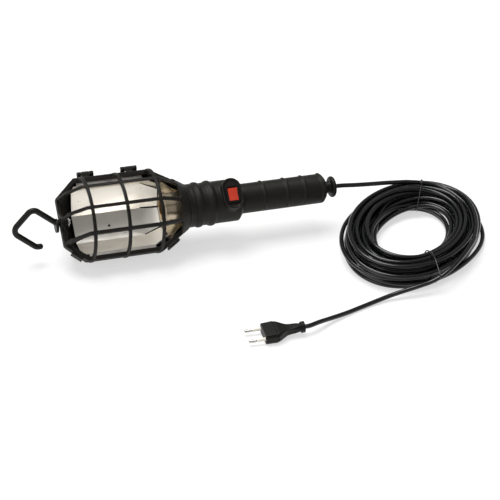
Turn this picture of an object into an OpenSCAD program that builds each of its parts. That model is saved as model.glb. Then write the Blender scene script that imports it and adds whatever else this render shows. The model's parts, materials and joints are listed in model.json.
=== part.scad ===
// Hand-held work light: a hinged bulb cage with a hook, a switched neck, a grip and a mains lead.
// The lamp's axis runs along X, with the hook at -X and the cord at +X. It lies on its cage.
// Lamp parts are drawn in a local frame: x = 0 at the cage's front face, the axis on x, the door up.

/* [Cage] */
// Outer radius of the cage
cage_r = 50; // [48:1:53]
// Radius of the flat front face
front_r = 28; // [26:1:30]
// Length of the sloping front
slope_len = 25; // [23:1:27]
// Length of the straight middle
straight_len = 90; // [88:1:96]
// Length of the cone that leads to the neck
cone_len = 39; // [37:1:42]
// Width of one cage bar
bar_w = 3.6; // [3:0.2:4.2]
// Depth of one cage bar
bar_depth = 4; // [3.6:0.1:4.2]
// Wall of the closed rear half
shell_wall = 2.4; // [2:0.1:2.6]
// Distance of the door's outer long bars from its middle one
bar_apart = 28; // [27:0.5:28]

/* [Neck and grip] */
// Radius of the neck
neck_r = 25.4; // [25:0.1:25.8]
// Radius of the grip
grip_r = 18; // [17.5:0.1:18.5]
// Length of the grip behind the neck
grip_len = 109; // [107:0.5:111]
// Length of the switch along the lamp
switch_w = 16.6; // [16.2:0.1:17]

/* [Hook] */
// Diameter of the hook's rod
hook_d = 7; // [6:0.5:7.5]

/* [Cord] */
// Diameter of the mains cord
cord_d = 5.4; // [5:0.1:5.8]
// Height of the coil
coil_h = 27; // [24:1:28]

/* [Pose] */
// How far the door is rolled from the top towards the front
door_roll = 39; // [30:1:45]

/* [Hidden] */
$fn = 96;
eps = 0.01;
fit_gap = 0.3;                      // gap between parts that move past each other
split = 0.15;                       // half the gap between the cage's two halves
m3_hole = 1.5;                      // radius of a hole for a 3 mm screw
m3_shank = 1.48;                    // radius of a 3 mm screw
m3_head = 2.8;                      // radius of its head

// Where things are along the lamp
straight_x = slope_len + straight_len;
cone_x = straight_x + cone_len;
front_t = 4;                        // thickness of the front bars
front_lean = 0.4;                   // how the rear half's front falls back
collar_x = cone_x - 2.6;            // start of the rear collar
neck_x = cone_x + 6;                // collar ends, neck begins
neck_end = neck_x + 55;
grip_x = neck_end + 5.5;
grip_end = grip_x + grip_len;
gland_end = grip_end + 13.5;
rib_r = 0.8;                        // how far the rear half's ribs stand out
axis_z = cage_r + rib_r;            // the lamp lies on those ribs
ring_xs = [31, 72, 112.4];          // the cage's hoops
hub_end = 9;
hub_r = 6.5;
shroud_x = collar_x + 0.6;          // front of the neck's bulkhead
hinge_y = cage_r + 5;
hinge_xs = [31, 83.5];
hinge_len = 20;
hinge_r = 3;
pin_r = 1.25;
switch_x = 204.2;
switch_y = -1;
boss_z = 29;
rocker_z = 27;
rocker_throw = 10;                  // tilt to each side of the middle

// The hook's rod, as corners and bend radii in the upright plane through the axis
hook_corners = [[-3.2, 0], [-31.5, 25], [-56, -4], [-27, -30], [-21.5, -29.5]];
hook_bends = [0, 7.5, 10, 8, 0];
hook_tip_x = -51.7 - hook_d / 2;
mid_x = (hook_tip_x + gland_end) / 2;

// Free cord, in the part's own frame
plug_at = [39.9, -200, 6.6];        // middle between the pins at the plug's face
plug_turn = -3.4;
plug_rise = 4;                      // the plug rests on its nose
coil_at = [278, -67];
coil_turn = 59;
coil_outer = [111, 88];
coil_inner = [53, 44];
lead_out = [
    [gland_end - mid_x, 0, axis_z], [204, 0, axis_z], [212, 0.3, 50.6], [224, 1.8, 49], [236, 4, 46.5],
    [248, 7.5, 42.5], [260, 12, 38], [272, 17.2, 33], [284, 22, 28.5], [296, 25.3, 25.8],
    [308, 26.2, 24.5], [320, 23.5, 24.1], [331, 17, 24], [339, 8, 24]
];
plug_level = cos(plug_rise);
plug_to = [cos(plug_turn) * plug_level, sin(plug_turn) * plug_level, sin(plug_rise)];
function plug_axis(x) = plug_at + x * plug_to;
lead_plug = [
    [264, -166.2, 16.6], [258.3, -166.5, 15.5], [240.4, -167.5, 12], [223.2, -167.3, 8.5],
    [205.3, -168.4, 5.4], [186.4, -172, 3.4], [166.7, -177.3, 2.8], [146.6, -183.7, 3.4],
    [123.8, -191.7, 6.2], [107, -198.8, 9.6],
    plug_axis(55), plug_axis(51.5), plug_axis(48)
];

// ---------- shared shapes ----------

module lamp() {
    translate([-mid_x, 0, axis_z]) rotate([door_roll, 0, 0]) children();
}

module upright() {
    translate([-mid_x, 0, axis_z]) children();
}

// A body of revolution about the lamp's axis; points are [x, radius].
// Sweep 180 from -90 is the half under the door, and from 90 it is the door's half.
module x_revolve(points, from = 0, sweep = 360) {
    rotate([0, 90, 0]) rotate_extrude(angle = sweep, start = from)
        polygon([for (p = points) [p[1], p[0]]]);
}

module x_cyl(x1, x2, r) {
    translate([x1, 0, 0]) rotate([0, 90, 0]) cylinder(h = x2 - x1, r = r);
}

module x_ring(x1, x2, r_in, r_out) {
    x_revolve([[x1, r_in], [x2, r_in], [x2, r_out], [x1, r_out]]);
}

module box(low, high) {
    translate(low) cube(high - low);
}

// A band that follows the cage's outside, between two depths below it
function front_rise() = (cage_r - front_r) / slope_len;
function rear_fall() = (cage_r - neck_r - 0.5) / cone_len;
function slant(s) = sqrt(1 + s * s);
function front_corner(t) = slope_len + t * (slant(front_rise()) - 1) / front_rise();
function rear_corner(t) = straight_x - t * (slant(rear_fall()) - 1) / rear_fall();
function skin_r(x, t) =
    x < front_corner(t) ? cage_r - t - front_rise() * (front_corner(t) - x) :
    x > rear_corner(t) ? cage_r - t - rear_fall() * (x - rear_corner(t)) : cage_r - t;
function skin(x1, x2, t) = [
    [x1, skin_r(x1, t)], [front_corner(t), cage_r - t], [rear_corner(t), cage_r - t], [x2, skin_r(x2, t)]
];
function reversed(list) = [for (i = [len(list) - 1:-1:0]) list[i]];
function band(x1, x2, t1, t2) = concat(skin(x1, x2, t1), reversed(skin(x1, x2, t2)));

// A tube swept along points
function unit(v) = v / norm(v);
function along(p, i) = unit(p[min(i + 1, len(p) - 1)] - p[max(i - 1, 0)]);
function square_to(n, t) = unit(n - (n * t) * t);
function side_start(t) = square_to(abs(t[2]) < 0.9 ? [0, 0, 1] : [1, 0, 0], t);
function next_side(n, p, i) = i < len(p) ? square_to(n, along(p, i)) : n;
function sides_of(p) = [
    for (i = 0, n = side_start(along(p, 0)); i < len(p); i = i + 1, n = next_side(n, p, i)) n
];
module tube(p, r, sides) {
    across = sides_of(p);
    rings = [for (i = [0:len(p) - 1], k = [0:sides - 1])
        let (n = across[i], b = cross(along(p, i), n), a = 360 * k / sides)
        p[i] + r * (cos(a) * n + sin(a) * b)];
    walls = [for (i = [0:len(p) - 2], k = [0:sides - 1], half = [0, 1])
        let (a = i * sides + k, b = i * sides + (k + 1) % sides)
        half == 0 ? [a, a + sides, b] : [b, a + sides, b + sides]];
    foot = [for (k = [0:sides - 1]) k];
    head = [for (k = [sides - 1:-1:0]) (len(p) - 1) * sides + k];
    polyhedron(rings, concat(walls, [foot, head]));
}

// Rounds the corners of a flat path
function turn_points(a, b, c, r, steps) =
    let (u = unit(a - b), v = unit(c - b), half = acos(u * v) / 2, mid = b + unit(u + v) * r / sin(half),
         first = b + u * r / tan(half), last = b + v * r / tan(half))
    [for (i = [0:steps])
        let (w = unit((first - mid) * (steps - i) / steps + (last - mid) * i / steps)) mid + w * r];
function rounded(p, r, steps) = [
    for (i = [0:len(p) - 1])
        each (i == 0 || i == len(p) - 1 ? [p[i]] : turn_points(p[i - 1], p[i], p[i + 1], r[i], steps))
];

// A 3 mm screw with its head's top at z = 0, pointing down
module screw(len, head_t = 2) {
    translate([0, 0, -head_t]) cylinder(h = head_t, r = m3_head, $fn = 48);
    translate([0, 0, -len]) cylinder(h = len - head_t + eps, r = m3_shank, $fn = 48);
}

// ---------- hook ----------

module hook() {
    path = [for (p = rounded(hook_corners, hook_bends, 8)) [p[0], 0, p[1]]];
    color("#1c1c1b") upright() {
        tube(path, hook_d / 2, 16);
        translate([0, 0, -3.4]) x_cyl(-5, -1.8, 8.3);
        difference() {
            x_cyl(-2.5, hub_end + 0.3, 4);
            x_cyl(-1, hub_end + 1, m3_hole);
        }
    }
}

module hook_washer() {
    color("silver") upright() x_ring(hub_end + 0.3, hub_end + 1.5, 1.6, 7);
}

module hook_screw() {
    color("silver") upright() translate([hub_end + 3.5, 0, 0]) rotate([0, 90, 0]) screw(11.5);
}

// ---------- cage ----------

// Hinge barrel pieces along x, with the web that joins them to a rim on the given side
module knuckle(x1, x2, side, bore) {
    difference() {
        union() {
            translate([0, hinge_y, 0]) x_cyl(x1, x2, hinge_r);
            if (side > 0) box([x1, cage_r - 2, 0.2], [x2, hinge_y, hinge_r]);
            if (side < 0) box([x1, cage_r - 2, -hinge_r], [x2, hinge_y, -0.2]);
        }
        translate([0, hinge_y, 0]) x_cyl(x1 - 1, x2 + 1, bore);
    }
}

// The rear half's outside with its three hoops, its hollow, and the outline of the collar
function hoop(x) = [
    [x - bar_w / 2, cage_r], [x - bar_w / 2, cage_r + rib_r],
    [x + bar_w / 2, cage_r + rib_r], [x + bar_w / 2, cage_r]
];
collar_outline = [
    [collar_x, 22], [collar_x, skin_r(collar_x, 0)], [cone_x, neck_r + 0.5],
    [neck_x, neck_r + 0.5], [neck_x, 22]
];
rear_outline = concat(
    [[0, 0], [0, front_r], [slope_len, cage_r]], hoop(ring_xs[0]), hoop(ring_xs[1]), hoop(ring_xs[2]),
    [[straight_x, cage_r], [cone_x, neck_r + 0.5], [neck_x, neck_r + 0.5], [neck_x, 22], [collar_x, 22],
     [collar_x, 0]]
);
rear_hollow = concat([[front_t, 0]], skin(front_t, collar_x + 0.01, shell_wall), [[collar_x + 0.01, 0]]);

// What lies ahead of the rear half's sloping front, moved back by some length
module ahead_of_front(back) {
    rotate([90, 0, 0]) translate([0, 0, -80]) linear_extrude(160)
        polygon([[back - 60, -4], [back, -4], [back + front_lean * 66, -70], [back - 60, -70]]);
}

module rear_shell() {
    difference() {
        x_revolve(rear_outline, -90, 180);
        ahead_of_front(0);
        difference() {
            x_revolve(rear_hollow, -90, 180);
            ahead_of_front(shell_wall * slant(front_lean));
        }
    }
}

module cage_rear() {
    color("#232422") lamp() difference() {
        union() {
            difference() {
                union() {
                    rear_shell();
                    intersection() {
                        x_revolve(band(0, collar_x + 0.5, -0.6, bar_depth + 0.5), -90, 180);
                        box([0.01, -80, -4], [cone_x, 80, -split]);
                    }
                    box([0, -front_r + 0.5, -4.1], [front_t, front_r - 0.5, 0]);
                }
                box([-1, -80, -split], [collar_x, 80, 80]);
            }
            x_revolve(collar_outline, 90, 180);
            x_cyl(0.2, hub_end, hub_r);
            for (x = [36, 92]) {
                box([x, 41.65, -9], [x + 8, 47, -1.5]);
                box([x, -47, -9], [x + 8, -41.65, -1.5]);
            }
            for (x = hinge_xs) {
                knuckle(x, x + 5.2, -1, pin_r + 0.02);
                knuckle(x + hinge_len - 5.2, x + hinge_len, -1, pin_r + 0.02);
            }
        }
        x_cyl(-1, hub_end + 1, 4.08);
        for (a = [130, -130]) rotate([a, 0, 0]) translate([neck_x - 4.5, 0, 20]) {
            cylinder(h = 10, r = m3_hole + 0.1, $fn = 48);
            translate([0, 0, neck_r - 21.5]) cylinder(h = 5, r = m3_head + 0.1, $fn = 48);
        }
        for (x = hinge_xs) translate([0, hinge_y, 0]) x_cyl(x + 5.2, x + hinge_len - 5.2, hinge_r + fit_gap);
    }
}

// The door's bars as seen from above, before they are cut to the cage's outside
bar_start = 6.5;
band_start = 140;

module long_bar(y, y_end) {
    w = bar_w / 2;
    linear_extrude(80) polygon([[bar_start, y - w], [straight_x, y - w], [band_start + 2, y_end - w],
                                [band_start + 2, y_end + w], [straight_x, y + w], [bar_start, y + w]]);
}

module door_bars() {
    for (s = [-1, 0, 1]) long_bar(s * bar_apart, s * 22);
    for (x = ring_xs) box([x - bar_w / 2, -80, split], [x + bar_w / 2, 80, 80]);
    box([band_start, -80, split], [cone_x, 80, 80]);
}

// The bar across the front, and the pieces that run to it from the long bars
module door_front() {
    top = skin_r(bar_start, 0);
    side_top = sqrt(top * top - bar_apart * bar_apart);
    box([0, -front_r + 0.5, split], [front_t, front_r - 0.5, 3.6]);
    x_revolve([[0, 0], [0, hub_r + 3.6], [front_t, hub_r + 3.6], [front_t, 0]], 90, 180);
    rotate([90, 0, 0]) translate([0, 0, -bar_w / 2]) linear_extrude(bar_w)
        polygon([[0.01, hub_r + 2], [bar_start, top], [bar_start + 3.4, top - 1], [front_t, hub_r + 2]]);
    for (s = [-1, 1]) translate([0, s * (bar_apart - 0.9), 0]) rotate([90, 0, 0])
        translate([0, 0, -bar_w / 2]) linear_extrude(bar_w)
            polygon([[0.02, 0.5], [0.02, 3], [bar_start, side_top], [bar_start + 3.4, side_top - 2],
                     [front_t - 0.02, 0.5]]);
}

// A snap tab that hangs from the door's rim over the rear half's rim
module door_tab(x1, x2) {
    mid = (x1 + x2) / 2;
    lean = mid < slope_len ? atan(front_rise()) : -atan(rear_fall());
    half = (x2 - x1) / 2 / cos(lean);
    translate([mid, -skin_r(mid, 0), 0]) rotate([0, 0, -lean]) {
        box([-half, -4, -6], [half, -1, 5]);
        box([-half, -1.2, 0.3], [half, 1.5, 4]);
    }
}

module cage_door() {
    back = collar_x - 0.35;
    color("#232422") lamp() difference() {
        union() {
            intersection() {
                x_revolve(band(bar_start, back, 0, bar_depth), 90, 180);
                door_bars();
            }
            intersection() {
                x_revolve(band(0, back, -0.6, bar_depth + 0.5), 90, 180);
                box([0.01, -80, split], [cone_x, 80, 4.1]);
            }
            door_front();
            for (x = hinge_xs) knuckle(x + 5.5, x + hinge_len - 5.5, 1, pin_r + 0.05);
            door_tab(9, 20);
            door_tab(121, 135);
        }
        x_cyl(-1, hub_end, hub_r + fit_gap);
        box([-1, -12, -5], [front_t + 1, 12, split]);
        for (x = hinge_xs) {
            translate([0, hinge_y, 0]) x_cyl(x - fit_gap, x + 5.5, hinge_r + fit_gap);
            translate([0, hinge_y, 0]) x_cyl(x + hinge_len - 5.5, x + hinge_len + fit_gap, hinge_r + fit_gap);
        }
    }
}

module hinge_pins() {
    color("silver") lamp() for (x = hinge_xs)
        translate([0, hinge_y, 0]) x_cyl(x + 0.4, x + hinge_len - 0.4, pin_r);
}

// ---------- reflector ----------

trough_r = 45;
trough_flat = trough_r * cos(22.5);
sheet_t = 0.8;
trough_front = 24;
trough_back = 108;
petal_len = 21.5;
petal_lean = 29;

module trough_outline(r) {
    rotate(22.5) circle(r = r, $fn = 8);
}

module petal(foot_w, tip_w) {
    translate([trough_back, 0, -trough_flat]) rotate([0, -petal_lean, 0])
        linear_extrude(sheet_t) polygon([[-0.2, -foot_w / 2], [petal_len, -tip_w / 2], [petal_len, tip_w / 2],
                                         [-0.2, foot_w / 2]]);
}

module reflector() {
    color("#d8d8d4") lamp() difference() {
        union() {
            translate([trough_front, 0, 0]) rotate([90, 0, 90]) linear_extrude(trough_back - trough_front)
                difference() {
                    trough_outline(trough_r);
                    trough_outline(trough_r - sheet_t / cos(22.5));
                }
            for (a = [-90:45:90]) rotate([a, 0, 0]) petal(32.4, 22.8);
            for (s = [-1, 1]) box([28, s > 0 ? 41 : -45.3, -1.4], [trough_back, s > 0 ? 45.3 : -41, 0]);
        }
        box([0, -80, -0.6], [cone_x, 80, 80]);
        translate([67, 0, -trough_r]) rotate([0, 0, 90]) cylinder(h = 10, r = 2.4, $fn = 3);
    }
}

// A flared sheet collar behind the petals, in the rear half only
module reflector_flare() {
    flare_x = 128;
    flare_r = 36.5;
    throat_r = 21.3;
    end_x = collar_x - 0.9;
    curve = [for (t = [0:0.1:1])
        [flare_x + (end_x - flare_x) * t, throat_r + (flare_r - throat_r) * pow(1 - t, 1.7)]];
    inner = [for (p = reversed(curve)) [p[0], p[1] - sheet_t]];
    color("#c8c2b4") lamp() {
        difference() {
            x_revolve(concat(curve, inner), -90, 180);
            box([0, -80, -0.6], [cone_x, 80, 80]);
        }
        x_ring(end_x - sheet_t, end_x, 19.3, 21.4);
    }
}

// ---------- lampholder ----------

holder_r = 19;
holder_front = 124;
holder_floor = 148;
shell_end = 145.4;                  // inner end of the screw shell
e27_r = 13.3;
strip_zs = [7.5, -8.5];             // where the two contact strips run back

module lampholder_body() {
    color("#e6e2d8") lamp() difference() {
        union() {
            x_cyl(holder_front, shroud_x, holder_r);
            x_ring(holder_front, holder_front + 4, 17, 20);
        }
        x_cyl(holder_front - 1, holder_floor, 14.1);
        for (s = [-1, 1]) translate([0, s * 9, 0]) {
            x_cyl(holder_floor - 1, shroud_x + 1, m3_hole);
            x_cyl(holder_floor - 1, holder_floor + 2.4, m3_head + 0.1);
        }
        for (z = strip_zs) box([holder_floor - 1, -3.3, z - 0.8], [shroud_x + 1, 3.3, z + 0.8]);
    }
}

module lampholder_screws() {
    color("silver") lamp() for (s = [-1, 1])
        translate([holder_floor + 0.4, s * 9, 0]) rotate([0, -90, 0]) screw(7);
}

module screw_shell() {
    color("#c9a64e") lamp() x_ring(holder_front + 0.5, shell_end, e27_r, 14.05);
}

module contact_strip(z, z_tip) {
    low = min(z_tip, z - 0.5);
    high = max(z_tip, z + 0.5);
    box([holder_floor - 1, -3, low], [holder_floor - 0.05, 3, high]);
    difference() {
        box([holder_floor - 0.5, -3, z - 0.5], [shroud_x + 12, 3, z + 0.5]);
        translate([shroud_x + 8, 0, z - 2]) cylinder(h = 4, r = m3_hole, $fn = 48);
    }
}

module centre_contact() {
    color("#c9a64e") lamp() {
        contact_strip(strip_zs[0], -2.5);
        x_cyl(holder_floor - 1.4, holder_floor - 1 + eps, 2.5);
    }
}

module side_contact() {
    color("#c9a64e") lamp() {
        contact_strip(strip_zs[1], -13.8);
        box([shell_end, -1.5, -13.8], [holder_floor - 0.5, 1.5, -13.35]);
    }
}

module terminal_screws() {
    color("silver") lamp() {
        translate([shroud_x + 8, 0, strip_zs[0] + 2.5]) screw(6);
        translate([shroud_x + 8, 0, strip_zs[1] - 2.5]) rotate([180, 0, 0]) screw(6);
    }
}

// ---------- neck ----------

module stadium(w, l) {
    straight = (l - w) / 2;
    square([w, 2 * straight], center = true);
    for (s = [-1, 1]) translate([0, s * straight]) circle(r = w / 2);
}

module rounded_rect(w, l, r) {
    square([w - 2 * r, l], center = true);
    square([w, l - 2 * r], center = true);
    for (sx = [-1, 1], sy = [-1, 1]) translate([sx * (w / 2 - r), sy * (l / 2 - r)]) circle(r = r);
}

// A grip ring that rises slowly towards the switch and ends in a step
module neck_ring(x) {
    rise = [[-5, -1], [-5, 0], [-3, 1], [-1.5, 1.65], [0, 1.9],
            [1.6, 1.75], [3.1, 1.2], [4.1, 0.4], [4.3, -1]];
    x_revolve([for (p = rise) [x + p[0], neck_r + p[1]]]);
}

module neck_housing() {
    case_cut_w = switch_w - 2.2;
    pocket_z = boss_z - 0.1;
    color("#242523") lamp() difference() {
        union() {
            x_revolve([[shroud_x, 0], [shroud_x, 21.9], [neck_x + 0.05, 21.9], [neck_x + 0.05, neck_r],
                       [neck_end, neck_r], [grip_x, grip_r + 0.6], [grip_x, 0]]);
            for (x = [neck_x + 5.2, neck_x + 20.7]) neck_ring(x);
            translate([switch_x, 0, 13]) linear_extrude(boss_z + 1.3 - 13) stadium(24.2, 38);
        }
        x_cyl(shroud_x + 3, neck_x + 2, 19.9);
        x_cyl(neck_x + 1.9, neck_end - 0.5, neck_r - 2.5);
        x_cyl(neck_end - 3.6, grip_x + 1, 15.5);
        translate([switch_x, switch_y, 25]) cube([case_cut_w, 18.8, 30], center = true);
        translate([switch_x, 0, pocket_z]) linear_extrude(5) stadium(19.6, 33.4);
        for (s = [-1, 1]) translate([0, s * 9, 0]) x_cyl(shroud_x - 1, shroud_x + 4, m3_hole);
        for (z = strip_zs) box([shroud_x - 1, -3.3, z - 0.8], [shroud_x + 4, 3.3, z + 0.8]);
        for (a = [130, -130]) rotate([a, 0, 0])
            translate([neck_x - 4.5, 0, 15]) cylinder(h = 10, r = m3_hole, $fn = 48);
        for (a = [140, -140]) rotate([a, 0, 0]) translate([grip_x - 4, 0, 0]) {
            translate([0, 0, 14]) cylinder(h = 10, r = m3_hole + 0.1, $fn = 48);
            translate([0, 0, 18.4]) cylinder(h = 10, r = m3_head + 0.2, $fn = 48);
        }
    }
}

module collar_screws() {
    color("silver") lamp() for (a = [130, -130]) rotate([a, 0, 0])
        translate([neck_x - 4.5, 0, neck_r + 0.4]) screw(7.5, 1.8);
}

// ---------- switch ----------

case_in = 5.8;
case_out = 7.1;

module switch_case() {
    color("#101010") lamp() translate([switch_x, switch_y, 0]) difference() {
        union() {
            translate([0, 0, boss_z]) linear_extrude(1.8) rounded_rect(switch_w, 21, 1.6);
            box([-case_out, -9.3, 14], [case_out, 9.3, boss_z + eps]);
        }
        box([-case_in, -8.6, 22.4], [case_in, 8.6, boss_z + 3]);
        box([-4.4, -7.5, 15.5], [4.4, 7.5, 21.2]);
        translate([0, 0, rocker_z]) x_cyl(-case_out - 1, case_out + 1, 1.26);
        for (y = [-5.5, 5.5]) box([-2.6, y - 0.5, 13], [2.6, y + 0.5, 16]);
    }
}

module rocker() {
    half = 7.4;
    side = [
        [-half, 5.2], [0, 3.6], [half, 5.2], [half - 0.5, -1], [2.6, -3.6], [-2.6, -3.6], [-half + 0.5, -1]
    ];
    color("#c8281e") lamp() translate([switch_x, switch_y, rocker_z]) rotate([rocker_throw, 0, 0]) {
        translate([-5.6, 0, 0]) rotate([90, 0, 90]) linear_extrude(11.2) polygon(side);
        x_cyl(-6.7, 6.7, 1.2);
    }
}

module switch_terminals() {
    color("#c9a64e") lamp() translate([switch_x, switch_y, 0]) for (y = [-5.5, 5.5]) {
        box([-2.4, y - 0.4, 5], [2.4, y + 0.4, 17]);
        box([-2.4, y - 1.4, 17], [2.4, y + 1.4, 18]);
    }
}

// ---------- grip ----------

rib_xs = [248, 277, 300, 322.6];
clamp_x = 312;

module grip() {
    corner = [
        [grip_end - 5.4, grip_r], [grip_end - 4, grip_r - 0.5],
        [grip_end - 0.8, grip_r - 4.4], [grip_end, grip_r - 6.4]
    ];
    color("#242523") lamp() difference() {
        union() {
            x_revolve(concat([[grip_x + 0.05, 0], [grip_x + 0.05, grip_r]], corner, [[grip_end, 0]]));
            x_cyl(neck_end - 2, grip_x + 1, 15.4);
            for (x = rib_xs) rotate([0, 90, 0]) rotate_extrude(angle = 156, start = 102)
                translate([grip_r - 0.5, x]) circle(r = 1.7, $fn = 32);
        }
        difference() {
            union() {
                x_cyl(neck_end - 3, grip_x + 3, 12.6);
                x_cyl(grip_x + 2.9, grip_end - 5, 14.5);
            }
            for (s = [-1, 1]) box([clamp_x, s * 8 - 3, -20], [clamp_x + 8, s * 8 + 3, 2.7]);
            box([clamp_x, -6, -20], [clamp_x + 8, 6, -cord_d / 2 - 0.05]);
        }
        x_cyl(grip_end - 6, grip_end + 1, 7.1);
        for (s = [-1, 1]) translate([clamp_x + 4, s * 8, -9]) cylinder(h = 20, r = m3_hole, $fn = 48);
        for (a = [140, -140]) rotate([a, 0, 0])
            translate([grip_x - 4, 0, 8]) cylinder(h = 12, r = m3_hole, $fn = 48);
    }
}

module grip_screws() {
    color("silver") lamp() for (a = [140, -140]) rotate([a, 0, 0]) translate([grip_x - 4, 0, 20.4]) screw(9);
}

module gland() {
    cap_x = gland_end - 3.4;
    cap = [for (a = [-90:15:90]) [cap_x + 2.8 * sin(a), 10.2 + 2.8 * cos(a)]];
    dish = [for (p = [[1.4, 8.6], [1.6, 6.2], [1.2, 5], [0, 4.4], [0, 0]]) [gland_end - p[0], p[1]]];
    foot = [for (p = [[8.5, 0], [8.5, 10], [5.1, 10], [5.1, 7], [-2, 7]]) [grip_end - p[0], p[1]]];
    color("#1c1c1b") lamp() difference() {
        x_revolve(concat(foot, [[cap_x - 2.8, 7.6]], cap, dish));
        x_cyl(grip_end - 9.5, gland_end + 1, cord_d / 2 + 0.05);
    }
}

module cord_clamp() {
    color("#303030") lamp() difference() {
        box([clamp_x, -11, 2.75], [clamp_x + 8, 11, 5.2]);
        for (s = [-1, 1]) translate([clamp_x + 4, s * 8, 0]) cylinder(h = 10, r = m3_hole + 0.1, $fn = 48);
    }
}

module clamp_screws() {
    color("silver") lamp() for (s = [-1, 1]) translate([clamp_x + 4, s * 8, 7.2]) screw(12);
}

// ---------- wiring inside the lamp ----------

tail_start = clamp_x - 12;

module cord_tail() {
    color("#161616") lamp() x_cyl(tail_start, gland_end, cord_d / 2);
}

module wire(p, paint) {
    color(paint) lamp() tube(p, 1.1, 8);
}

module wire_live() {
    wire([[tail_start, 1.2, 0], [296, 1.2, 0], [285, 3, 0], [262, 4, 0], [238, 3, 1], [222, 0, 2],
          [212, -4, 0.8], [206.5, -6, 0.5], [switch_x, switch_y - 5.5, 2.5], [switch_x, switch_y - 5.5, 5]],
         "#6b4226");
}

module wire_switched() {
    wire([[switch_x, switch_y + 5.5, 5], [switch_x, switch_y + 5.5, 2.5], [200.5, 4.6, 0.8], [192, 4.4, 1],
          [183, 3.6, 4], [174, 2, 6], [168, 0, 7.5], [164, 0, 7.5]], "#6b4226");
}

module wire_neutral() {
    wire([[tail_start, -1.2, 0], [296, -1.2, 0], [285, -3, -2], [262, -4, -4], [238, -4, -6], [220, -3, -8],
          [200, -2, -9], [184, -1, -9], [172, 0, -8.5], [164, 0, -8.5]], "#3c6ea8");
}

// ---------- free cord ----------

module cord_lead_out() {
    color("#141516") tube(lead_out, cord_d / 2, 10);
}

module cord_lead_plug() {
    color("#141516") tube(lead_plug, cord_d / 2, 10);
}

module cord_coil() {
    color("#141516") translate([coil_at[0], coil_at[1], 0]) rotate(coil_turn) linear_extrude(coil_h)
        difference() {
            scale(coil_outer) circle(r = 1, $fn = 48);
            scale(coil_inner) circle(r = 1, $fn = 48);
        }
}

// A wire tie: a closed loop around the coil's bundle, at a bearing from the coil's middle
module tie(bearing, r_in, r_out) {
    wire_r = 0.7;
    mid = (r_in + r_out) / 2;
    top = coil_h + wire_r;
    path = rounded([[mid, wire_r], [r_in, wire_r], [r_in, top], [r_out, top], [r_out, wire_r],
                    [mid + 1.6, wire_r]], [0, 6, 6, 6, 6, 0], 4);
    color("#303232") translate([coil_at[0], coil_at[1], 0]) rotate(bearing)
        tube([for (p = path) [p[0], 0, p[1]]], wire_r, 8);
}

module tie_rear() {
    tie(60, 52, 112);
}

module tie_front() {
    tie(-93, 49.8, 105.2);
}

// ---------- plug ----------

module plug_place() {
    translate(plug_at) rotate([0, -plug_rise, plug_turn]) children();
}

module plug_block(x, w, t) {
    translate([x, 0, 0]) cube([0.1, w, t], center = true);
}

module plug_body() {
    color("#141516") plug_place() {
        hull() {
            plug_block(0.05, 26.4, 6);
            plug_block(0.05, 23, 12.4);
            plug_block(13.9, 27.6, 6.4);
            plug_block(13.9, 24, 12.8);
        }
        translate([14.5, 0, 0]) cube([1.4, 23.6, 11.4], center = true);
        hull() {
            plug_block(15, 26.6, 6);
            plug_block(15, 22.6, 12.6);
            plug_block(27, 14.4, 10.6);
        }
        hull() {
            plug_block(26.95, 14.4, 10.6);
            x_cyl(43.4, 43.6, 4.6, $fn = 32);
        }
        difference() {
            x_cyl(43.5, 48, 6.5);
            x_cyl(47.5, 49, cord_d / 2 - 0.2);
        }
    }
}

module plug_pins() {
    color("silver") plug_place() for (s = [-1, 1]) translate([0, s * 9.3, 0]) {
        x_cyl(-18.5, -10, 2);
        x_cyl(-10 - eps, 0, 1.6);
        translate([-18.5, 0, 0]) rotate([0, -90, 0]) cylinder(h = 0.6, r1 = 2, r2 = 1.4);
    }
}

module pin_sleeves() {
    color("#d9d4c8") plug_place() for (s = [-1, 1]) translate([0, s * 9.3, 0]) x_ring(-10, 0, 1.6, 2);
}

hook();
hook_washer();
hook_screw();
cage_rear();
cage_door();
hinge_pins();
reflector();
reflector_flare();
collar_screws();
lampholder_body();
lampholder_screws();
screw_shell();
centre_contact();
side_contact();
terminal_screws();
neck_housing();
switch_case();
rocker();
switch_terminals();
grip();
grip_screws();
gland();
cord_clamp();
clamp_screws();
cord_tail();
wire_live();
wire_switched();
wire_neutral();
cord_lead_out();
cord_coil();
cord_lead_plug();
tie_rear();
tie_front();
plug_body();
plug_pins();
pin_sleeves();
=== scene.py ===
"""Looks for the hand-held work light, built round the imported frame: cage, reflector, neck, grip, coiled cord
and plug. Lengths are in millimetres where MM turns them into metres."""

import json
import math

import bmesh
import bpy
import numpy as np
from mathutils import Matrix, Vector


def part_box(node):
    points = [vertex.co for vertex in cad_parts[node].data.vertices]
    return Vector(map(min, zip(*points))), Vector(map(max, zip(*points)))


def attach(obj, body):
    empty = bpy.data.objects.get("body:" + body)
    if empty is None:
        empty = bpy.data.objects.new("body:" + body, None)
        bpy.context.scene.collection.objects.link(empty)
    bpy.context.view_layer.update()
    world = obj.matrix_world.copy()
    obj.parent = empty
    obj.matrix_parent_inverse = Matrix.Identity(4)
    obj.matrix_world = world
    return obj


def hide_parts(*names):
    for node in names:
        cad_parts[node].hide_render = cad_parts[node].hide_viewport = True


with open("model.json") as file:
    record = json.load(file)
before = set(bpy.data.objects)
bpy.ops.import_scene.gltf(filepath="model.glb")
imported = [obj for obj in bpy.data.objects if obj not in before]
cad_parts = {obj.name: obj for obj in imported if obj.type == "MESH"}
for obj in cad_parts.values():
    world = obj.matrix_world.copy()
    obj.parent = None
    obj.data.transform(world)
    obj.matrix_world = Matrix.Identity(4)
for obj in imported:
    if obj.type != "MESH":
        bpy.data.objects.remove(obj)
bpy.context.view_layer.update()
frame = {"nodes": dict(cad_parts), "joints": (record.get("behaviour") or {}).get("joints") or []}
MM = 0.001


# ---------- places, read from the frame ----------

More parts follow.
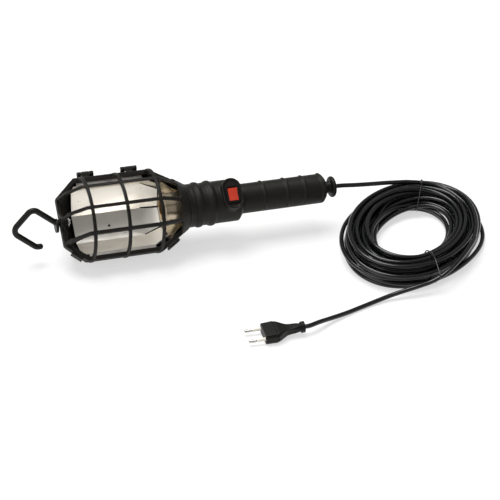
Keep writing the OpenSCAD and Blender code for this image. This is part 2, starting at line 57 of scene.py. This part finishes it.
joints = {j["name"]: j for j in frame["joints"]}
AXIS_Z = joints["hook_swivel"]["pos_m"][2]
FRONT_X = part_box("cage_rear")[0].x
GLAND_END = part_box("gland")[1].x
UPRIGHT = Matrix.Translation((FRONT_X, 0, AXIS_Z)) @ Matrix.Scale(MM, 4)


# ---------- material helpers ----------


class Paint:
    """A node material built up in a few calls."""

    def __init__(self, name, color, rough, **fixed):
        self.mat = bpy.data.materials.new(name)
        self.mat.use_nodes = True
        self.nodes = self.mat.node_tree.nodes
        self.links = self.mat.node_tree.links
        self.bsdf = self.nodes["Principled BSDF"]
        self.bsdf.inputs["Base Color"].default_value = (*color, 1)
        self.bsdf.inputs["Roughness"].default_value = rough
        for key, value in fixed.items():
            self.bsdf.inputs[key.replace("_", " ")].default_value = value
        self.place = self.nodes.new("ShaderNodeTexCoord").outputs["Object"]
        self.bump_from = None

    def noise(self, scale, detail=4, rough=0.6, stretch=None):
        tex = self.nodes.new("ShaderNodeTexNoise")
        tex.inputs["Scale"].default_value = scale
        tex.inputs["Detail"].default_value = detail
        tex.inputs["Roughness"].default_value = rough
        self.links.new(self.stretched(stretch), tex.inputs["Vector"])
        return tex.outputs["Fac"]

    def stretched(self, stretch):
        if stretch is None:
            return self.place
        mapping = self.nodes.new("ShaderNodeMapping")
        mapping.inputs["Scale"].default_value = stretch
        self.links.new(self.place, mapping.inputs["Vector"])
        return mapping.outputs["Vector"]

    def remap(self, value, low, high, to_low, to_high):
        node = self.nodes.new("ShaderNodeMapRange")
        for key, number in zip(("From Min", "From Max", "To Min", "To Max"), (low, high, to_low, to_high)):
            node.inputs[key].default_value = number
        self.links.new(value, node.inputs["Value"])
        return node.outputs["Result"]

    def ramp(self, value, stops):
        node = self.nodes.new("ShaderNodeValToRGB")
        elements = node.color_ramp.elements
        while len(elements) < len(stops):
            elements.new(0.5)
        for element, (position, color) in zip(elements, stops):
            element.position = position
            element.color = (*color, 1)
        self.links.new(value, node.inputs["Fac"])
        return node.outputs["Color"]

    def color(self, output):
        self.links.new(output, self.bsdf.inputs["Base Color"])
        return self

    def rough(self, output):
        self.links.new(output, self.bsdf.inputs["Roughness"])
        return self

    def bump(self, height, strength, distance):
        node = self.nodes.new("ShaderNodeBump")
        node.inputs["Strength"].default_value = strength
        node.inputs["Distance"].default_value = distance
        self.links.new(height, node.inputs["Height"])
        if self.bump_from is not None:
            self.links.new(self.bump_from, node.inputs["Normal"])
        self.bump_from = node.outputs["Normal"]
        self.links.new(self.bump_from, self.bsdf.inputs["Normal"])
        return self

    def wear(self, base, worn, sharp=0.52):
        """Colour that pales on edges, by the surface's own curvature, broken up by noise."""
        geometry = self.nodes.new("ShaderNodeNewGeometry")
        edge = self.remap(geometry.outputs["Pointiness"], sharp, sharp + 0.05, 0, 1)
        broken = self.nodes.new("ShaderNodeMath")
        broken.operation = "MULTIPLY"
        self.links.new(edge, broken.inputs[0])
        self.links.new(self.remap(self.noise(180), 0.35, 0.7, 0.2, 1), broken.inputs[1])
        return self.color(self.ramp(broken.outputs[0], [(0, base), (1, worn)]))


def moulded(name, base, pale, rough):
    """Moulded plastic: spark-eroded grain, soft mottling, paler edges."""
    paint = Paint(name, base, rough, Specular_IOR_Level=0.2)
    paint.wear(base, pale)
    paint.rough(paint.remap(paint.noise(90, 5), 0.3, 0.7, rough - 0.07, rough + 0.07))
    paint.bump(paint.noise(2200, 2), 0.35, 0.00008)
    paint.bump(paint.noise(60, 3), 0.12, 0.0006)
    return paint.mat


# ---------- mesh helpers ----------


def auto_smooth(obj, degrees):
    """Sharp edges where faces meet at more than the angle."""
    edges = bmesh.new()
    edges.from_mesh(obj.data)
    limit = math.radians(degrees)
    for edge in edges.edges:
        edge.smooth = len(edge.link_faces) == 2 and edge.calc_face_angle(0) < limit
    edges.to_mesh(obj.data)
    edges.free()
    return obj


def applied(obj):
    """The object's mesh with its modifiers applied."""
    bpy.context.view_layer.update()
    graph = bpy.context.evaluated_depsgraph_get()
    mesh = bpy.data.meshes.new_from_object(obj.evaluated_get(graph))
    old = obj.data
    obj.modifiers.clear()
    obj.data = mesh
    bpy.data.meshes.remove(old)
    return obj


def moulded_copy(node, mat, body, voxel, smooth, extra=(), name=None):
    """A CAD node's shape with the soft edges and small fillets that moulding gives, made by remeshing it.
    extra holds more closed meshes, in metres, that join it."""
    mesh = frame["nodes"][node].data.copy()
    joined = bmesh.new()
    joined.from_mesh(mesh)
    for part in extra:
        joined.from_mesh(part)
    joined.to_mesh(mesh)
    joined.free()
    mesh.materials.clear()
    obj = bpy.data.objects.new(name or node + "_moulded", mesh)
    bpy.context.scene.collection.objects.link(obj)
    remesh = obj.modifiers.new("remesh", "REMESH")
    remesh.mode = "VOXEL"
    remesh.voxel_size = voxel
    soften = obj.modifiers.new("soften", "SMOOTH")
    soften.factor = 0.5
    soften.iterations = smooth
    applied(obj)
    obj.data.polygons.foreach_set("use_smooth", [True] * len(obj.data.polygons))
    obj.data.materials.clear()
    obj.data.materials.append(mat)
    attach(obj, body)
    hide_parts(node)
    return obj


def keep(node, mat):
    """A CAD node that stays as it is, with a better material."""
    obj = frame["nodes"][node]
    obj.data.materials.clear()
    obj.data.materials.append(mat)


def curve_object(name, points, radius, mat, replaces, sides):
    """A round cord or rod along points, as one open spline."""
    data = bpy.data.curves.new(name, "CURVE")
    data.dimensions = "3D"
    data.bevel_depth = radius
    data.bevel_resolution = sides
    data.use_fill_caps = True
    spline = data.splines.new("POLY")
    spline.points.add(len(points) - 1)
    for point, place in zip(spline.points, points):
        point.co = (*place, 1)
    spline.use_smooth = True
    obj = bpy.data.objects.new(name, data)
    bpy.context.scene.collection.objects.link(obj)
    data.materials.append(mat)
    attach(obj, "body")
    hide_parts(*replaces)
    return obj


def smooth_path(points, step):
    """Evenly spaced points on a Catmull-Rom curve through points."""
    p = np.array(points, float)
    p = np.vstack([2 * p[0] - p[1], p, 2 * p[-1] - p[-2]])
    out = []
    for a, b, c, d in zip(p, p[1:], p[2:], p[3:]):
        square, cube = 2 * a - 5 * b + 4 * c - d, 3 * b - a - 3 * c + d
        for t in np.linspace(0, 1, 24, endpoint=False):
            out.append(0.5 * (2 * b + (c - a) * t + square * t**2 + cube * t**3))
    out.append(p[-2])
    return resample(np.array(out), step)


def resample(line, step):
    """Points along the line, about a step apart."""
    along = np.concatenate([[0], np.cumsum(np.linalg.norm(np.diff(line, axis=0), axis=1))])
    count = max(2, int(round(along[-1] / step)) + 1)
    at = np.linspace(0, along[-1], count)
    return np.stack([np.interp(at, along, line[:, k]) for k in range(3)], 1)


# ---------- camera ----------

CAMERA_ELEVATION = math.radians(35.494)
CAMERA_TURN = math.radians(21.964)
CAMERA_ROLL = math.radians(4.987)
CAMERA_FROM_FRONT = -0.35886
CAMERA_Y = -1.48484
CAMERA_OVER_AXIS = 1.06307
FOCAL_WIDTHS = 1596.3 / 500             # focal length, as a share of the image's width
SENSOR_WIDTH = 36


def add_camera():
    """The photograph's own view."""
    elevation, turn, roll = CAMERA_ELEVATION, CAMERA_TURN, CAMERA_ROLL
    level = math.cos(elevation)
    forward = Vector((math.sin(turn) * level, math.cos(turn) * level, -math.sin(elevation)))
    flat_right = Vector((math.cos(turn), -math.sin(turn), 0))
    flat_up = flat_right.cross(forward)
    right = flat_right * math.cos(roll) + flat_up * math.sin(roll)
    up = flat_up * math.cos(roll) - flat_right * math.sin(roll)
    data = bpy.data.cameras.new("camera")
    data.sensor_width = SENSOR_WIDTH
    data.lens = FOCAL_WIDTHS * SENSOR_WIDTH
    data.clip_end = 20
    camera = bpy.data.objects.new("camera", data)
    turned = Matrix((right, up, -forward)).transposed().to_4x4()
    place = (FRONT_X + CAMERA_FROM_FRONT, CAMERA_Y, AXIS_Z + CAMERA_OVER_AXIS)
    camera.matrix_world = Matrix.Translation(place) @ turned
    bpy.context.scene.collection.objects.link(camera)
    bpy.context.scene.camera = camera


add_camera()


# ---------- free cord ----------

CORD_D = 5.4
CORD_R = CORD_D / 2
CORD_STEP = 5.0                         # between the cord's points
COIL_AT = np.array([280.6, -64.6])
COIL_TURN = math.radians(41.6)
COIL_OUTER = np.array([109.0, 75.5])    # half axes of the outermost turn's middle line
COIL_INNER = np.array([63.0, 41.5])     # and of the innermost
COIL_H = 31.0

gland_x = GLAND_END / MM
axis_z = AXIS_Z / MM
LEAD_OUT = [
    (gland_x, 0, axis_z), (204, 0, axis_z), (212, -0.4, 50.6), (224, 0, 49), (236, 1, 47.3),
    (247, 2.6, 45.4), (258, 5, 43), (270, 8.4, 40), (282, 11.6, 36.8), (294, 14, 34),
    (306, 15.6, 31.8), (318, 15.6, 30.6), (330, 14.2, 30), (342, 10.4, 29.8), (353, 4, 29.6),
    (361, -5, 29.4), (366, -16, 29.2),
]
PLUG_TURN = math.radians(-3.4)
PLUG_RISE = math.radians(4)
PLUG_AT = np.array([39.9, -200.0, 6.6])
PLUG_END = 48                           # the collar's end, along the plug
plug_level = math.cos(PLUG_RISE)
plug_to = np.array([math.cos(PLUG_TURN) * plug_level, math.sin(PLUG_TURN) * plug_level, math.sin(PLUG_RISE)])
LEAD_PLUG = [
    (258.3, -166.5, 15.5), (240.4, -167.5, 12), (223.2, -167.3, 8.5), (205.3, -168.4, 5.4),
    (186.4, -172, 3.4), (166.7, -177.3, 2.8), (146.6, -183.7, 3.4), (123.8, -191.7, 6.2), (107, -198.8, 9.6),
    *(tuple(PLUG_AT + (PLUG_END + beyond) * plug_to) for beyond in (7, 3.5, 0)),
]
# Where the last turn comes over the coil, on its way to the plug
CROSSING = [
    (362, -50, 29.5), (362.6, -68, 30.4), (357, -87, 31), (346, -105, 31.3), (330, -124, 31),
    (311, -142, 30), (293, -155.5, 27), (275, -164.5, 22),
]

# Where each turn lies in the coil's band: share of the way from inside (-1) to outside (1), and height
SLOTS = [
    (0.7, 28.4), (0.92, 22), (1.0, 15.6), (0.95, 9.2), (0.85, 2.8), (0.3, 2.8), (0.42, 9.2), (0.5, 15.6),
    (0.4, 22), (0.15, 28.4), (-0.35, 28), (-0.12, 22), (-0.02, 15.6), (-0.1, 9.2), (-0.25, 2.8), (-0.85, 2.8),
    (-0.65, 9.2), (-0.55, 15.6), (-0.6, 21.6), (-0.95, 9), (-0.9, 15), (0.75, 29),
]
TURNS = len(SLOTS)
POINTS_PER_TURN = 96
MOVE_FROM = 0.62                        # share of a turn after which it moves to its next place
WANDER_ONCE = 0.13                      # how far a turn wanders, once and twice round, as a share of the band
WANDER_TWICE = 0.1
WANDER_UP = 2.6                         # and in height
LOOSE_TURNS = {3: 0.3, 8: 0.22, 12: 0.16}   # turns that bulge outward, and how far
LOOSE_AT = math.radians(-66)
LOOSE_WIDTH = 0.42


def oval(angle, share):
    """A point of the coil's band, at a share of the way from its inner to its outer edge."""
    axes = COIL_INNER + (COIL_OUTER - COIL_INNER) * share
    local = np.array([axes[0] * math.cos(angle), axes[1] * math.sin(angle)])
    c, s = math.cos(COIL_TURN), math.sin(COIL_TURN)
    return COIL_AT + np.array([c * local[0] - s * local[1], s * local[0] + c * local[1]])


def oval_angle(point):
    """How far round the coil's oval a point lies."""
    d = np.array(point[:2]) - COIL_AT
    c, s = math.cos(COIL_TURN), math.sin(COIL_TURN)
    local = np.array([c * d[0] + s * d[1], -s * d[0] + c * d[1]])
    return math.atan2(local[1] / COIL_OUTER[1], local[0] / COIL_OUTER[0])


def wound_turns():
    """The coil's turns as first laid, by a loop: each keeps its place in the band for most of the way round
    and moves to the next place over the last part, with slow wanders of its own."""
    rng = np.random.default_rng(5)
    begin, end = oval_angle(LEAD_OUT[-1]), oval_angle(CROSSING[0])
    sweep = 2 * math.pi * (TURNS - 1) + ((begin - end) % (2 * math.pi))
    steps = TURNS * POINTS_PER_TURN
    wander = rng.uniform(-1, 1, (TURNS + 1, 6))
    points = []
    for i in range(2, steps - 1):
        turned = sweep * i / steps
        angle = begin - turned
        k = turned / (2 * math.pi)
        n = min(int(k), TURNS - 1)
        part = k - int(k)
        blend = max(0, (part - MOVE_FROM) / (1 - MOVE_FROM))
        blend = blend * blend * (3 - 2 * blend)
        after = min(n + 1, TURNS - 1)
        share = SLOTS[n][0] * (1 - blend) + SLOTS[after][0] * blend
        height = SLOTS[n][1] * (1 - blend) + SLOTS[after][1] * blend
        w = wander[n] * (1 - blend) + wander[after] * blend
        share += (
            WANDER_ONCE * w[0] * math.cos(angle)
            + WANDER_ONCE * w[1] * math.sin(angle)
            + WANDER_TWICE * w[2] * math.cos(2 * angle + 3 * w[3])
        )
        height += WANDER_UP * w[4] * math.cos(angle + 3 * w[5])
        from_loose = (angle - LOOSE_AT + math.pi) % (2 * math.pi) - math.pi
        share += LOOSE_TURNS.get(n, 0.0) * math.exp(-((from_loose / LOOSE_WIDTH) ** 2))
        x, y = oval(angle, 0.5 + 0.5 * max(-1.05, share))
        points.append((x, y, min(COIL_H - CORD_R + 0.6, max(CORD_R, height))))
    return np.array(points)


def touching(p, reach):
    """Pairs of points, not close along the cord, that are nearer than reach."""
    first, second = [], []
    for low in range(0, len(p), 500):
        part = p[low : low + 500]
        gap = np.sqrt(((part[:, None, :] - p[None, :, :]) ** 2).sum(2))
        a, b = np.nonzero(gap < reach)
        keep_pair = b - (a + low) > 4
        first.append(a[keep_pair] + low)
        second.append(b[keep_pair])
    return np.concatenate(first), np.concatenate(second)


SPREAD = np.array([1, 3, 6, 7, 6, 3, 1]) / 27
APART = CORD_D * 1.03                   # between the middle lines of turns that touch
SINK = 0.012                            # how far the cord sinks in a round
SETTLE_ROUNDS = 140


def spread(points):
    """Each point but the first and last three, averaged with its neighbours."""
    return sum(SPREAD[k] * points[k : k + len(points) - 6] for k in range(7))


def settled(line, fixed, rounds):
    """Pushes the cord out of itself while it stays smooth. fixed marks points that stay."""
    p = line.copy()
    start = line.copy()
    weight = np.where(fixed, 0.0, 1.0)[:, None]
    for round_ in range(rounds):
        if round_ % 6 == 0:
            a, b = touching(p, APART * 1.7)
        gap = p[a] - p[b]
        dist = np.sqrt((gap**2).sum(1)) + 1e-9
        push = np.maximum(APART - dist, 0)[:, None] * gap / dist[:, None] * 0.5
        hit = (dist < APART).astype(float)
        step = np.zeros_like(p)
        np.add.at(step, a, push)
        np.add.at(step, b, -push)
        hits = np.bincount(a, hit, len(p)) + np.bincount(b, hit, len(p))
        step /= np.maximum(hits, 1)[:, None] ** 0.6
        step[:, 2] -= SINK
        drift = (p + step * weight) - start
        padded = np.vstack([drift[:1]] * 3 + [drift] + [drift[-1:]] * 3)
        mix = 0.5 if round_ < rounds * 0.8 else 0.25
        drift = drift * (1 - mix) + spread(padded) * mix
        p = start + drift * weight
        p[:, 2] = np.maximum(p[:, 2], CORD_R + 0.02)
    a, b = touching(p, APART)
    gap = np.sqrt(((p[a] - p[b]) ** 2).sum(1))
    closest = float(gap.min(initial=APART))
    print("closest the cord comes to itself, middle to middle:", round(closest, 2), "mm")
    return p


def cord_line():
    """The whole cord's middle line: from the gland, through the coil, to the plug."""
    lead = smooth_path(LEAD_OUT, CORD_STEP)
    tail = smooth_path(CROSSING + LEAD_PLUG, CORD_STEP)
    turns = resample(wound_turns(), CORD_STEP)
    line = np.vstack([lead[:-1], turns, tail[1:]])
    reach = 14
    for at in (len(lead) - 1, len(lead) - 1 + len(turns)):
        low, high = at - reach, at + reach
        for _ in range(reach):
            line[low:high] = spread(line[low - 3 : high + 3])
    fixed = np.zeros(len(line), bool)
    fixed[: len(lead) - 12] = True
    fixed[-(len(tail) - 36) :] = True
    return settled(line, fixed, SETTLE_ROUNDS)


def cord_material():
    paint = Paint("cord_sheath", (0.0026, 0.003, 0.0036), 0.2, Specular_IOR_Level=0.5)
    tones = [(0.3, (0.0022, 0.0026, 0.0032)), (0.75, (0.004, 0.0044, 0.005))]
    paint.color(paint.ramp(paint.noise(38, 4), tones))
    paint.rough(paint.remap(paint.noise(120, 4), 0.3, 0.7, 0.17, 0.27))
    paint.bump(paint.noise(900, 3), 0.06, 0.00005)
    paint.bump(paint.noise(75, 2), 0.06, 0.0004)
    return paint.mat


def add_cord(line, mat):
    stands_for = ("cord_lead_out", "cord_coil", "cord_lead_plug")
    cord = curve_object("cord", line * MM, CORD_R * MM, mat, stands_for, sides=5)
    length = float(np.linalg.norm(np.diff(line, axis=0), axis=1).sum()) * MM
    print("cord length", round(length, 3), "m")


def convex(points):
    """The convex hull of flat points, anticlockwise."""
    points = sorted(set((round(float(x), 4), round(float(y), 4)) for x, y in points))

    def turns_left(a, b, c):
        return (b[0] - a[0]) * (c[1] - a[1]) > (b[1] - a[1]) * (c[0] - a[0])

    def half(order):
        out = []
        for p in order:
            while len(out) > 1 and not turns_left(out[-2], out[-1], p):
                out.pop()
            out.append(p)
        return out[:-1]

    return half(points) + half(points[::-1])


WIRE_R = 0.75
TWISTS = 10                             # points of each twisted end
TWIST_STEP = 0.72
TWIST_ANGLE = 1.3


def add_tie(name, line, bearing, mat):
    """A wire tie drawn tight round the bundle, with its ends twisted together on top."""
    across = np.array([math.cos(math.radians(bearing)), math.sin(math.radians(bearing))])
    side = np.array([-across[1], across[0]])

    def place(r, z, s):
        return (*(COIL_AT + across * r + side * s), z)

    flat = line[:, :2] - COIL_AT
    beside, out = flat @ side, flat @ across
    reach = CORD_R + WIRE_R
    ring = []
    for i in range(len(line) - 1):
        if beside[i] * beside[i + 1] <= 0 and out[i] > 0 and line[i, 2] < COIL_H + 4:
            for t in np.linspace(0, 2 * math.pi, 16, endpoint=False):
                ring.append((out[i] + reach * math.cos(t), line[i, 2] + reach * math.sin(t)))
    loop = [(r, max(z, WIRE_R)) for r, z in convex(ring)]
    loop.append(loop[0])
    along = resample(np.array([(r, z, 0.0) for r, z in loop]), 0.9)[:-1]
    top = int(np.argmax(along[:, 1] - 0.05 * abs(along[:, 0] - along[:, 0].mean())))
    along = np.roll(along, -top, axis=0)
    lean = np.linspace(-0.8, 0.8, len(along))
    path = [place(r, z, s) for (r, z, _), s in zip(along, lean)]
    r0, z0 = along[0][0], along[0][1]
    for turn in range(2):
        twist = []
        for k in range(1, TWISTS + 1):
            angle = k * TWIST_ANGLE + turn * math.pi
            up, beside_it = WIRE_R * math.sin(angle), WIRE_R * math.cos(angle)
            twist.append(place(r0 - TWIST_STEP * k, z0 + 0.9 + up, beside_it))
        path = twist[::-1] + path if turn == 0 else path + twist
    curve_object(name + "_wire", np.array(path) * MM, WIRE_R * MM, mat, (name,), sides=3)


# ---------- materials ----------


def sheet(name, base, warm, rough, direction):
    """Rolled sheet: metal with fine lines along the rolling and soft dents."""
    paint = Paint(name, base, rough, Metallic=0.85)
    paint.color(paint.ramp(paint.noise(35, 4, stretch=direction), [(0.25, warm), (0.7, base)]))
    paint.rough(paint.remap(paint.noise(260, 4, stretch=direction), 0.3, 0.7, rough - 0.04, rough + 0.05))
    paint.bump(paint.noise(700, 3, stretch=direction), 0.012, 0.00003)
    paint.bump(paint.noise(14, 1, 0.4), 0.14, 0.0014)
    return paint.mat


def plain(name, base, rough, second=None, **fixed):
    """A simple surface: slightly uneven colour and roughness, fine grain."""
    paint = Paint(name, base, rough, **fixed)
    second = second or tuple(min(1, c * 1.25 + 0.003) for c in base)
    paint.color(paint.ramp(paint.noise(70, 5), [(0.35, base), (0.75, second)]))
    paint.rough(paint.remap(paint.noise(150, 4), 0.3, 0.7, max(0.05, rough - 0.08), rough + 0.08))
    paint.bump(paint.noise(600, 3), 0.15, 0.0001)
    return paint.mat


black_plastic = moulded("black_moulded", (0.0088, 0.0078, 0.0062), (0.026, 0.0235, 0.019), 0.5)
gland_plastic = moulded("gland_moulded", (0.006, 0.0056, 0.005), (0.02, 0.019, 0.017), 0.42)
rod_paint = moulded("painted_rod", (0.0085, 0.008, 0.007), (0.024, 0.022, 0.019), 0.42)
gloss_black = plain("gloss_black", (0.004, 0.0037, 0.0037), 0.16, Specular_IOR_Level=0.3)
red_plastic = plain("red_rocker", (0.55, 0.032, 0.012), 0.34, (0.6, 0.05, 0.02), Subsurface_Weight=0.08)
reflector_sheet = sheet("reflector_sheet", (0.93, 0.895, 0.83), (0.86, 0.82, 0.75), 0.31, (0.15, 1, 1))
flare_sheet = sheet("flare_sheet", (0.7, 0.6, 0.44), (0.55, 0.46, 0.32), 0.24, (0.3, 1, 1))
holder_sheet = sheet("holder_sheet", (0.66, 0.56, 0.42), (0.34, 0.27, 0.18), 0.24, (1, 0.3, 0.3))
brass = plain("brass", (0.72, 0.5, 0.2), 0.3, (0.6, 0.4, 0.16), Metallic=1.0)
steel = plain("zinc_steel", (0.6, 0.6, 0.58), 0.34, (0.5, 0.5, 0.49), Metallic=1.0)
nickel = plain("nickel", (0.7, 0.69, 0.66), 0.2, (0.6, 0.59, 0.56), Metallic=1.0)
sleeve_plastic = plain("pin_sleeve", (0.78, 0.75, 0.68), 0.4)
brown_wire = plain("brown_wire", (0.1, 0.035, 0.015), 0.4)
blue_wire = plain("blue_wire", (0.02, 0.07, 0.25), 0.4)
clamp_plastic = plain("clamp_plastic", (0.03, 0.03, 0.03), 0.5)
tie_wire = plain("tie_wire", (0.012, 0.013, 0.013), 0.3, (0.03, 0.032, 0.03))
cord_mat = cord_material()


# ---------- cage, neck and grip ----------


def crisp(node, mat, body, width, segments, dissolve=2.0):
    """A CAD node with its flat faces cleaned up and its edges broken by a small bevel, in millimetres."""
    mesh = frame["nodes"][node].data.copy()
    mesh.materials.clear()
    mesh.materials.append(mat)
    clean = bmesh.new()
    clean.from_mesh(mesh)
    bmesh.ops.remove_doubles(clean, verts=clean.verts, dist=1e-6)
    bmesh.ops.dissolve_limit(clean, angle_limit=math.radians(dissolve), verts=clean.verts, edges=clean.edges)
    clean.to_mesh(mesh)
    clean.free()
    obj = bpy.data.objects.new(node + "_crisp", mesh)
    bpy.context.scene.collection.objects.link(obj)
    bevel = obj.modifiers.new("bevel", "BEVEL")
    bevel.width = width * MM
    bevel.segments = segments
    bevel.limit_method = "ANGLE"
    bevel.angle_limit = math.radians(40)
    bevel.use_clamp_overlap = True
    applied(obj)
    obj.data.polygons.foreach_set("use_smooth", [True] * len(obj.data.polygons))
    auto_smooth(obj, 35)
    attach(obj, body)
    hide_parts(node)


def swept(path, radii, sides):
    """A closed rod along points with a radius at each one: verts and faces in the path's units."""
    path = np.array(path, float)
    verts, faces = [], []
    normal = None
    for i, point in enumerate(path):
        ahead = path[min(i + 1, len(path) - 1)] - path[max(i - 1, 0)]
        ahead /= np.linalg.norm(ahead)
        if normal is None:
            normal = np.cross(ahead, (0, 1, 0.001))
        normal = normal - ahead * (normal @ ahead)
        normal /= np.linalg.norm(normal)
        other = np.cross(ahead, normal)
        for k in range(sides):
            a = 2 * math.pi * k / sides
            verts.append(point + radii[i] * (math.cos(a) * normal + math.sin(a) * other))
    for i in range(len(path) - 1):
        for k in range(sides):
            a, b = i * sides + k, i * sides + (k + 1) % sides
            faces.append((a, b, b + sides, a + sides))
    faces.append(tuple(range(sides))[::-1])
    faces.append(tuple(range((len(path) - 1) * sides, len(path) * sides)))
    return verts, faces


def round_end(path, radius, steps=7):
    """Adds points and shrinking radii that close a rod with a ball."""
    path = [np.array(p, float) for p in path]
    radii = [radius] * len(path)
    way = path[-1] - path[-2]
    way /= np.linalg.norm(way)
    tip = path[-1].copy()
    for k in range(1, steps + 1):
        a = math.pi / 2 * k / steps
        path.append(tip + way * radius * math.sin(a))
        radii.append(max(0.05, radius * math.cos(a)))
    return path, radii


ROD_R = 3.5
# The hook's corners before they are rounded, along X and up from the hook's axis, and their bend radii
HOOK_CORNERS = [(-3.2, 0), (-31.5, 25), (-56, -4), (-27, -30), (-22.6, -29.6)]
HOOK_BENDS = [0, 7.5, 10, 8, 0]


def rounded_path(corners, bends, steps=10):
    """Points along straight runs between corners, with each corner rounded to its bend radius."""
    corners = [np.array(c, float) for c in corners]
    out = [corners[0]]
    for i in range(1, len(corners) - 1):
        b = corners[i]
        u = (corners[i - 1] - b) / np.linalg.norm(corners[i - 1] - b)
        v = (corners[i + 1] - b) / np.linalg.norm(corners[i + 1] - b)
        half = math.acos(float(u @ v)) / 2
        mid = b + (u + v) / np.linalg.norm(u + v) * bends[i] / math.sin(half)
        first, last = b + u * bends[i] / math.tan(half), b + v * bends[i] / math.tan(half)
        for k in range(steps + 1):
            w = (first - mid) * (steps - k) / steps + (last - mid) * k / steps
            out.append(mid + w / np.linalg.norm(w) * bends[i])
    out.append(corners[-1])
    return out


TAIL_FROM = 16
TAIL_LEN = 26.5
TAIL_HOLLOW = 0.22                      # share by which the tail is drawn in at its middle


def draw_in_tail(obj):
    """Gives the plug's tail its hollow curve between the block and the collar."""
    turned = Matrix.Rotation(PLUG_TURN, 4, "Z") @ Matrix.Rotation(-PLUG_RISE, 4, "Y")
    place = Matrix.Translation(PLUG_AT) @ turned
    back = place.inverted()
    for vertex in obj.data.vertices:
        at = back @ (vertex.co / MM)
        part = (at.x - TAIL_FROM) / TAIL_LEN
        if 0 < part < 1:
            slim = 1 - TAIL_HOLLOW * math.sin(math.pi * part) ** 2
            vertex.co = (place @ Vector((at.x, at.y * slim, at.z * slim))) * MM


def add_hook():
    """The bent rod, joined to the CAD's flange and spigot."""
    path = [(p[0], 0, p[1]) for p in rounded_path(HOOK_CORNERS, HOOK_BENDS)]
    path, radii = round_end(path, ROD_R)
    rod_verts, rod_faces = swept(path, radii, 24)
    rod = bpy.data.meshes.new("hook_rod")
    rod.from_pydata([tuple(v) for v in rod_verts], [], rod_faces)
    rod.transform(UPRIGHT)
    moulded_copy("hook", rod_paint, "hook", 0.0004, 5, (rod,), "hook_rod_and_flange")


for node_name, body_name, voxel in (
    ("cage_rear", "body", 0.0008), ("cage_door", "door", 0.00055),
    ("neck_housing", "body", 0.0006), ("grip", "body", 0.0006),
):
    moulded_copy(node_name, black_plastic, body_name, voxel, 3)
moulded_copy("gland", gland_plastic, "body", 0.00035, 4)
plug = moulded_copy("plug_body", gland_plastic, "body", 0.0004, 3)
draw_in_tail(plug)
add_hook()

crisp("reflector", reflector_sheet, "body", 0.18, 1)
crisp("switch_case", gloss_black, "body", 0.45, 3)
crisp("rocker", red_plastic, "rocker", 0.5, 3, dissolve=1.0)
crisp("cord_clamp", clamp_plastic, "body", 0.4, 2)

for node_name, mat, slot in (
    ("reflector_flare", flare_sheet, "flare_sheet"), ("lampholder_body", holder_sheet, "flare_sheet"),
    ("screw_shell", brass, "brass"), ("centre_contact", brass, "brass"), ("side_contact", brass, "brass"),
    ("switch_terminals", brass, "brass"), ("hook_washer", steel, "steel"), ("hook_screw", steel, "steel"),
    ("hinge_pins", steel, "steel"), ("collar_screws", steel, "steel"), ("lampholder_screws", steel, "steel"),
    ("terminal_screws", steel, "steel"), ("grip_screws", steel, "steel"), ("clamp_screws", steel, "steel"),
    ("cord_tail", cord_mat, "cord_sheath"), ("wire_live", brown_wire, "brown_wire"),
    ("wire_switched", brown_wire, "brown_wire"), ("wire_neutral", blue_wire, "blue_wire"),
    ("plug_pins", nickel, "nickel"), ("pin_sleeves", sleeve_plastic, "pale_plastic"),
):
    keep(node_name, mat)


# ---------- cord, ties and plug ----------

line = cord_line()
add_cord(line, cord_mat)
add_tie("tie_rear", line, 60, tie_wire)
add_tie("tie_front", line, -96, tie_wire)


# ---------- floor and light ----------


def add_stage():
    """A pale floor that gives off some light of its own, so that shadows stay as pale as in the photo."""
    size = 6
    corners = [(-size, -size, 0), (size, -size, 0), (size, size, 0), (-size, size, 0)]
    mesh = bpy.data.meshes.new("floor")
    mesh.from_pydata(corners, [], [(0, 1, 2, 3)])
    floor = bpy.data.objects.new("floor", mesh)
    bpy.context.scene.collection.objects.link(floor)
    glow = {"Emission_Color": (1, 1, 1, 1), "Emission_Strength": 0.6}
    paint = Paint("floor", (0.42, 0.42, 0.42), 0.8, Specular_IOR_Level=0.1, **glow)
    mesh.materials.append(paint.mat)

    world = bpy.data.worlds.new("world")
    world.use_nodes = True
    world.node_tree.nodes["Background"].inputs["Color"].default_value = (1, 0.99, 0.975, 1)
    world.node_tree.nodes["Background"].inputs["Strength"].default_value = 0.3
    bpy.context.scene.world = world
    bpy.context.scene.view_settings.view_transform = "Standard"

    def sun(name, toward, angle, power):
        data = bpy.data.lights.new(name, "SUN")
        data.angle = math.radians(angle)
        data.energy = power
        lamp = bpy.data.objects.new(name, data)
        lamp.rotation_euler = Vector(toward).to_track_quat("-Z", "Y").to_euler()
        bpy.context.scene.collection.objects.link(lamp)

    sun("overhead", (0.16, -0.32, -1), 40, 3.0)
    sun("side", (0.9, 0.35, -0.6), 40, 0.5)


add_stage()
